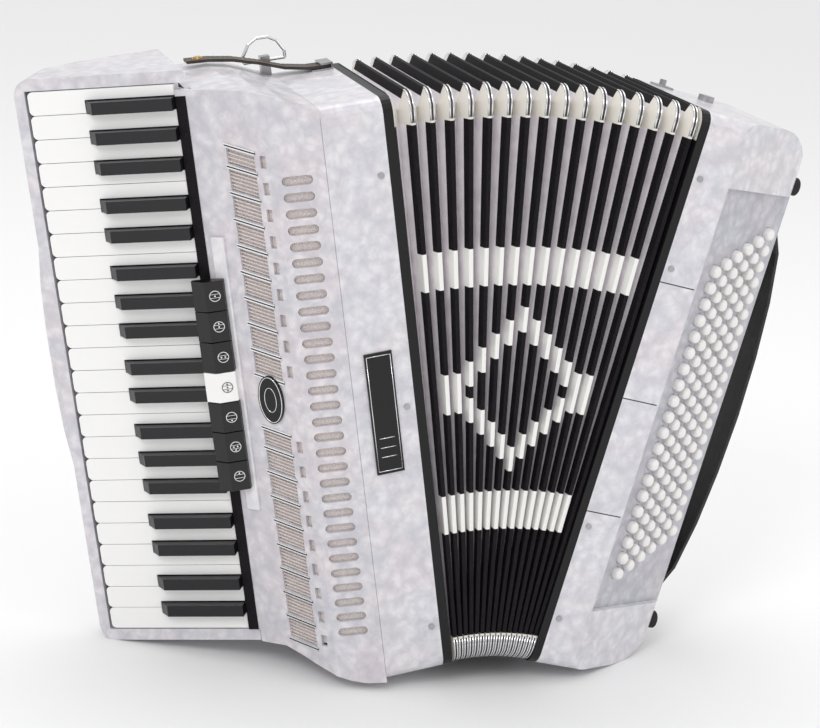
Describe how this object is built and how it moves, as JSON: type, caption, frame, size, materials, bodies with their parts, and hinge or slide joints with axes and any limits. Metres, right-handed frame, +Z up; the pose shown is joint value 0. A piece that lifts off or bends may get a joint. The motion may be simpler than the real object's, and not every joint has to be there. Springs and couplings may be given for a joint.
{
  "type": "piano accordion",
  "caption": "Pearl piano accordion with a slanted keyboard, register switches, slotted grille, fanned bellows, button bass and leather hand strap.",
  "frame": {"origin": "centre of the bounding box's footprint, on the floor under the instrument", "axes": "+X from the keyboard side to the bass side, +Y from the grille to the player, +Z up; the bellows are fanned open and the instrument stands on its lower edges"},
  "size_m": [0.6686, 0.1876, 0.5222],
  "materials": {
    "pearl_body": "marbled pearl celluloid, polished",
    "bass_pearl": "marbled pearl celluloid, polished",
    "grille_pearl": "marbled pearl celluloid, polished",
    "cloth": "fine silver grey cloth",
    "badge": "gloss black",
    "bed_pearl": "wood under pearl celluloid",
    "axle_steel": "bright steel",
    "white_key": "polished white",
    "black_key": "satin black",
    "register_black": "gloss black",
    "register_white": "pearl white",
    "reed_wood": "bare pine",
    "frame_black": "gloss black",
    "fold_card": "black bellows tape over card",
    "bright_metal": "polished",
    "strap_leather": "black leather, stitched",
    "button_white": "polished white",
    "board_pearl": "pearl",
    "foot_rubber": "black rubber"
  },
  "bodies": {
    "treble": {"treble_casing": "pearl_body", "treble_grille": "grille_pearl", "grille_cloth": "cloth", "name_badges": "badge", "keyboard_bed": "bed_pearl", "key_axle": "axle_steel", "treble_reed_blocks": "reed_wood", "treble_bellows_frame": "frame_black", "treble_hardware": "bright_metal", "bellows_strap": "strap_leather"},
    "key_c": {"key_c": "white_key"},
    "key_c_sharp": {"key_c_sharp": "black_key"},
    "key_d": {"key_d": "white_key"},
    "key_d_sharp": {"key_d_sharp": "black_key"},
    "key_e": {"key_e": "white_key"},
    "key_f": {"key_f": "white_key"},
    "key_f_sharp": {"key_f_sharp": "black_key"},
    "key_g": {"key_g": "white_key"},
    "key_g_sharp": {"key_g_sharp": "black_key"},
    "key_a": {"key_a": "white_key"},
    "key_a_sharp": {"key_a_sharp": "black_key"},
    "key_b": {"key_b": "white_key"},
    "register_1": {"register_1": "register_black"},
    "register_2": {"register_2": "register_black"},
    "register_3": {"register_3": "register_black"},
    "register_4": {"register_4": "register_white"},
    "register_5": {"register_5": "register_black"},
    "register_6": {"register_6": "register_black"},
    "register_7": {"register_7": "register_black"},
    "strap_ring": {"strap_ring": "bright_metal"},
    "fold_01": {"fold_01": "fold_card"},
    "fold_02": {"fold_02": "fold_card"},
    "fold_03": {"fold_03": "fold_card"},
    "fold_04": {"fold_04": "fold_card"},
    "fold_05": {"fold_05": "fold_card"},
    "fold_06": {"fold_06": "fold_card"},
    "fold_07": {"fold_07": "fold_card"},
    "fold_08": {"fold_08": "fold_card"},
    "fold_09": {"fold_09": "fold_card"},
    "fold_10": {"fold_10": "fold_card"},
    "fold_11": {"fold_11": "fold_card"},
    "fold_12": {"fold_12": "fold_card"},
    "fold_13": {"fold_13": "fold_card"},
    "fold_14": {"fold_14": "fold_card"},
    "fold_15": {"fold_15": "fold_card"},
    "bass": {"fold_16": "fold_card", "bass_casing": "bass_pearl", "bass_button_board": "board_pearl", "bass_reed_blocks": "reed_wood", "bass_bellows_frame": "frame_black", "bass_strap": "strap_leather", "bass_feet": "foot_rubber", "bass_hardware": "bright_metal"},
    "buttons_counterbass": {"buttons_counterbass": "button_white"},
    "buttons_fundamental": {"buttons_fundamental": "button_white"},
    "buttons_major": {"buttons_major": "button_white"},
    "buttons_minor": {"buttons_minor": "button_white"},
    "buttons_seventh": {"buttons_seventh": "button_white"},
    "buttons_diminished": {"buttons_diminished": "button_white"},
    "air_button": {"air_button": "button_white"}
  },
  "joints": [
    {"name": "key_c_press", "type": "hinge", "parent": "treble", "child": "key_c", "pos_m": [-0.1266, -0.0122, 0.27139], "axis": [0.196, 0, -0.9806], "range_deg": [0, 1.4], "stiffness_Nm_per_rad": 2, "springref_deg": -5.73},
    {"name": "key_c_sharp_press", "type": "hinge", "parent": "treble", "child": "key_c_sharp", "pos_m": [-0.1266, -0.0122, 0.27139], "axis": [0.196, 0, -0.9806], "range_deg": [0, 1.4], "stiffness_Nm_per_rad": 2, "springref_deg": -5.73},
    {"name": "key_d_press", "type": "hinge", "parent": "treble", "child": "key_d", "pos_m": [-0.1266, -0.0122, 0.27139], "axis": [0.196, 0, -0.9806], "range_deg": [0, 1.4], "stiffness_Nm_per_rad": 2, "springref_deg": -5.73},
    {"name": "key_d_sharp_press", "type": "hinge", "parent": "treble", "child": "key_d_sharp", "pos_m": [-0.1266, -0.0122, 0.27139], "axis": [0.196, 0, -0.9806], "range_deg": [0, 1.4], "stiffness_Nm_per_rad": 2, "springref_deg": -5.73},
    {"name": "key_e_press", "type": "hinge", "parent": "treble", "child": "key_e", "pos_m": [-0.1266, -0.0122, 0.27139], "axis": [0.196, 0, -0.9806], "range_deg": [0, 1.4], "stiffness_Nm_per_rad": 2, "springref_deg": -5.73},
    {"name": "key_f_press", "type": "hinge", "parent": "treble", "child": "key_f", "pos_m": [-0.1266, -0.0122, 0.27139], "axis": [0.196, 0, -0.9806], "range_deg": [0, 1.4], "stiffness_Nm_per_rad": 2, "springref_deg": -5.73},
    {"name": "key_f_sharp_press", "type": "hinge", "parent": "treble", "child": "key_f_sharp", "pos_m": [-0.1266, -0.0122, 0.27139], "axis": [0.196, 0, -0.9806], "range_deg": [0, 1.4], "stiffness_Nm_per_rad": 2, "springref_deg": -5.73},
    {"name": "key_g_press", "type": "hinge", "parent": "treble", "child": "key_g", "pos_m": [-0.1266, -0.0122, 0.27139], "axis": [0.196, 0, -0.9806], "range_deg": [0, 1.4], "stiffness_Nm_per_rad": 2, "springref_deg": -5.73},
    {"name": "key_g_sharp_press", "type": "hinge", "parent": "treble", "child": "key_g_sharp", "pos_m": [-0.1266, -0.0122, 0.27139], "axis": [0.196, 0, -0.9806], "range_deg": [0, 1.4], "stiffness_Nm_per_rad": 2, "springref_deg": -5.73},
    {"name": "key_a_press", "type": "hinge", "parent": "treble", "child": "key_a", "pos_m": [-0.1266, -0.0122, 0.27139], "axis": [0.196, 0, -0.9806], "range_deg": [0, 1.4], "stiffness_Nm_per_rad": 2, "springref_deg": -5.73},
    {"name": "key_a_sharp_press", "type": "hinge", "parent": "treble", "child": "key_a_sharp", "pos_m": [-0.1266, -0.0122, 0.27139], "axis": [0.196, 0, -0.9806], "range_deg": [0, 1.4], "stiffness_Nm_per_rad": 2, "springref_deg": -5.73},
    {"name": "key_b_press", "type": "hinge", "parent": "treble", "child": "key_b", "pos_m": [-0.1266, -0.0122, 0.27139], "axis": [0.196, 0, -0.9806], "range_deg": [0, 1.4], "stiffness_Nm_per_rad": 2, "springref_deg": -5.73},
    {"name": "register_1_press", "type": "hinge", "parent": "treble", "child": "register_1", "pos_m": [-0.17618, -0.03043, 0.32845], "axis": [0.196, 0, -0.9806], "range_deg": [0, 4], "stiffness_Nm_per_rad": 0.3, "springref_deg": -5.73},
    {"name": "register_2_press", "type": "hinge", "parent": "treble", "child": "register_2", "pos_m": [-0.17111, -0.03043, 0.30309], "axis": [0.196, 0, -0.9806], "range_deg": [0, 4], "stiffness_Nm_per_rad": 0.3, "springref_deg": -5.73},
    {"name": "register_3_press", "type": "hinge", "parent": "treble", "child": "register_3", "pos_m": [-0.16604, -0.03043, 0.27774], "axis": [0.196, 0, -0.9806], "range_deg": [0, 4], "stiffness_Nm_per_rad": 0.3, "springref_deg": -5.73},
    {"name": "register_4_press", "type": "hinge", "parent": "treble", "child": "register_4", "pos_m": [-0.16098, -0.03043, 0.25238], "axis": [0.196, 0, -0.9806], "range_deg": [0, 4], "stiffness_Nm_per_rad": 0.3, "springref_deg": -5.73},
    {"name": "register_5_press", "type": "hinge", "parent": "treble", "child": "register_5", "pos_m": [-0.15591, -0.03043, 0.22702], "axis": [0.196, 0, -0.9806], "range_deg": [0, 4], "stiffness_Nm_per_rad": 0.3, "springref_deg": -5.73},
    {"name": "register_6_press", "type": "hinge", "parent": "treble", "child": "register_6", "pos_m": [-0.15084, -0.03043, 0.20166], "axis": [0.196, 0, -0.9806], "range_deg": [0, 4], "stiffness_Nm_per_rad": 0.3, "springref_deg": -5.73},
    {"name": "register_7_press", "type": "hinge", "parent": "treble", "child": "register_7", "pos_m": [-0.14577, -0.03043, 0.1763], "axis": [0.196, 0, -0.9806], "range_deg": [0, 4], "stiffness_Nm_per_rad": 0.3, "springref_deg": -5.73},
    {"name": "strap_ring_swing", "type": "hinge", "parent": "treble", "child": "strap_ring", "pos_m": [-0.12559, 0.0718, 0.50105], "axis": [0.9806, 0, 0.196], "range_deg": [-95, 0]},
    {"name": "fold_01_spread", "type": "hinge", "parent": "treble", "child": "fold_01", "pos_m": [0.03565, -0.0042, 0.02133], "axis": [0, 1, 0], "range_deg": [-1.35, 1.2]},
    {"name": "fold_02_spread", "type": "hinge", "parent": "fold_01", "child": "fold_02", "pos_m": [0.03975, -0.0042, 0.02205], "axis": [0, 1, 0], "range_deg": [-1.35, 1.2]},
    {"name": "fold_03_spread", "type": "hinge", "parent": "fold_02", "child": "fold_03", "pos_m": [0.04386, -0.0042, 0.02266], "axis": [0, 1, 0], "range_deg": [-1.35, 1.2]},
    {"name": "fold_04_spread", "type": "hinge", "parent": "fold_03", "child": "fold_04", "pos_m": [0.04799, -0.0042, 0.02317], "axis": [0, 1, 0], "range_deg": [-1.35, 1.2]},
    {"name": "fold_05_spread", "type": "hinge", "parent": "fold_04", "child": "fold_05", "pos_m": [0.05214, -0.0042, 0.02357], "axis": [0, 1, 0], "range_deg": [-1.35, 1.2]},
    {"name": "fold_06_spread", "type": "hinge", "parent": "fold_05", "child": "fold_06", "pos_m": [0.05629, -0.0042, 0.02388], "axis": [0, 1, 0], "range_deg": [-1.35, 1.2]},
    {"name": "fold_07_spread", "type": "hinge", "parent": "fold_06", "child": "fold_07", "pos_m": [0.06044, -0.0042, 0.02408], "axis": [0, 1, 0], "range_deg": [-1.35, 1.2]},
    {"name": "fold_08_spread", "type": "hinge", "parent": "fold_07", "child": "fold_08", "pos_m": [0.0646, -0.0042, 0.02418], "axis": [0, 1, 0], "range_deg": [-1.35, 1.2]},
    {"name": "fold_09_spread", "type": "hinge", "parent": "fold_08", "child": "fold_09", "pos_m": [0.06877, -0.0042, 0.02417], "axis": [0, 1, 0], "range_deg": [-1.35, 1.2]},
    {"name": "fold_10_spread", "type": "hinge", "parent": "fold_09", "child": "fold_10", "pos_m": [0.07293, -0.0042, 0.02406], "axis": [0, 1, 0], "range_deg": [-1.35, 1.2]},
    {"name": "fold_11_spread", "type": "hinge", "parent": "fold_10", "child": "fold_11", "pos_m": [0.07708, -0.0042, 0.02385], "axis": [0, 1, 0], "range_deg": [-1.35, 1.2]},
    {"name": "fold_12_spread", "type": "hinge", "parent": "fold_11", "child": "fold_12", "pos_m": [0.08123, -0.0042, 0.02353], "axis": [0, 1, 0], "range_deg": [-1.35, 1.2]},
    {"name": "fold_13_spread", "type": "hinge", "parent": "fold_12", "child": "fold_13", "pos_m": [0.08537, -0.0042, 0.02311], "axis": [0, 1, 0], "range_deg": [-1.35, 1.2]},
    {"name": "fold_14_spread", "type": "hinge", "parent": "fold_13", "child": "fold_14", "pos_m": [0.0895, -0.0042, 0.02259], "axis": [0, 1, 0], "range_deg": [-1.35, 1.2]},
    {"name": "fold_15_spread", "type": "hinge", "parent": "fold_14", "child": "fold_15", "pos_m": [0.09361, -0.0042, 0.02197], "axis": [0, 1, 0], "range_deg": [-1.35, 1.2]},
    {"name": "bass_spread", "type": "hinge", "parent": "fold_15", "child": "bass", "pos_m": [0.09771, -0.0042, 0.02124], "axis": [0, 1, 0], "range_deg": [-1.35, 1.2]},
    {"name": "buttons_counterbass_press", "type": "slide", "parent": "bass", "child": "buttons_counterbass", "axis": [-0.549, 0.8278, 0.1157], "range_m": [0, 0.0035], "stiffness_N_per_m": 200, "springref_m": -0.01},
    {"name": "buttons_fundamental_press", "type": "slide", "parent": "bass", "child": "buttons_fundamental", "axis": [-0.549, 0.8278, 0.1157], "range_m": [0, 0.0035], "stiffness_N_per_m": 200, "springref_m": -0.01},
    {"name": "buttons_major_press", "type": "slide", "parent": "bass", "child": "buttons_major", "axis": [-0.549, 0.8278, 0.1157], "range_m": [0, 0.0035], "stiffness_N_per_m": 200, "springref_m": -0.01},
    {"name": "buttons_minor_press", "type": "slide", "parent": "bass", "child": "buttons_minor", "axis": [-0.549, 0.8278, 0.1157], "range_m": [0, 0.0035], "stiffness_N_per_m": 200, "springref_m": -0.01},
    {"name": "buttons_seventh_press", "type": "slide", "parent": "bass", "child": "buttons_seventh", "axis": [-0.549, 0.8278, 0.1157], "range_m": [0, 0.0035], "stiffness_N_per_m": 200, "springref_m": -0.01},
    {"name": "buttons_diminished_press", "type": "slide", "parent": "bass", "child": "buttons_diminished", "axis": [-0.549, 0.8278, 0.1157], "range_m": [0, 0.0035], "stiffness_N_per_m": 200, "springref_m": -0.01},
    {"name": "air_button_press", "type": "slide", "parent": "bass", "child": "air_button", "axis": [-0.9785, 0, 0.2061], "range_m": [0, 0.0045], "stiffness_N_per_m": 200, "springref_m": -0.01}
  ],
  "couplings": [
    {"joint": "fold_01_spread", "follows": "bass_spread", "ratio": 1},
    {"joint": "fold_02_spread", "follows": "bass_spread", "ratio": 1},
    {"joint": "fold_03_spread", "follows": "bass_spread", "ratio": 1},
    {"joint": "fold_04_spread", "follows": "bass_spread", "ratio": 1},
    {"joint": "fold_05_spread", "follows": "bass_spread", "ratio": 1},
    {"joint": "fold_06_spread", "follows": "bass_spread", "ratio": 1},
    {"joint": "fold_07_spread", "follows": "bass_spread", "ratio": 1},
    {"joint": "fold_08_spread", "follows": "bass_spread", "ratio": 1},
    {"joint": "fold_09_spread", "follows": "bass_spread", "ratio": 1},
    {"joint": "fold_10_spread", "follows": "bass_spread", "ratio": 1},
    {"joint": "fold_11_spread", "follows": "bass_spread", "ratio": 1},
    {"joint": "fold_12_spread", "follows": "bass_spread", "ratio": 1},
    {"joint": "fold_13_spread", "follows": "bass_spread", "ratio": 1},
    {"joint": "fold_14_spread", "follows": "bass_spread", "ratio": 1},
    {"joint": "fold_15_spread", "follows": "bass_spread", "ratio": 1}
  ]
}
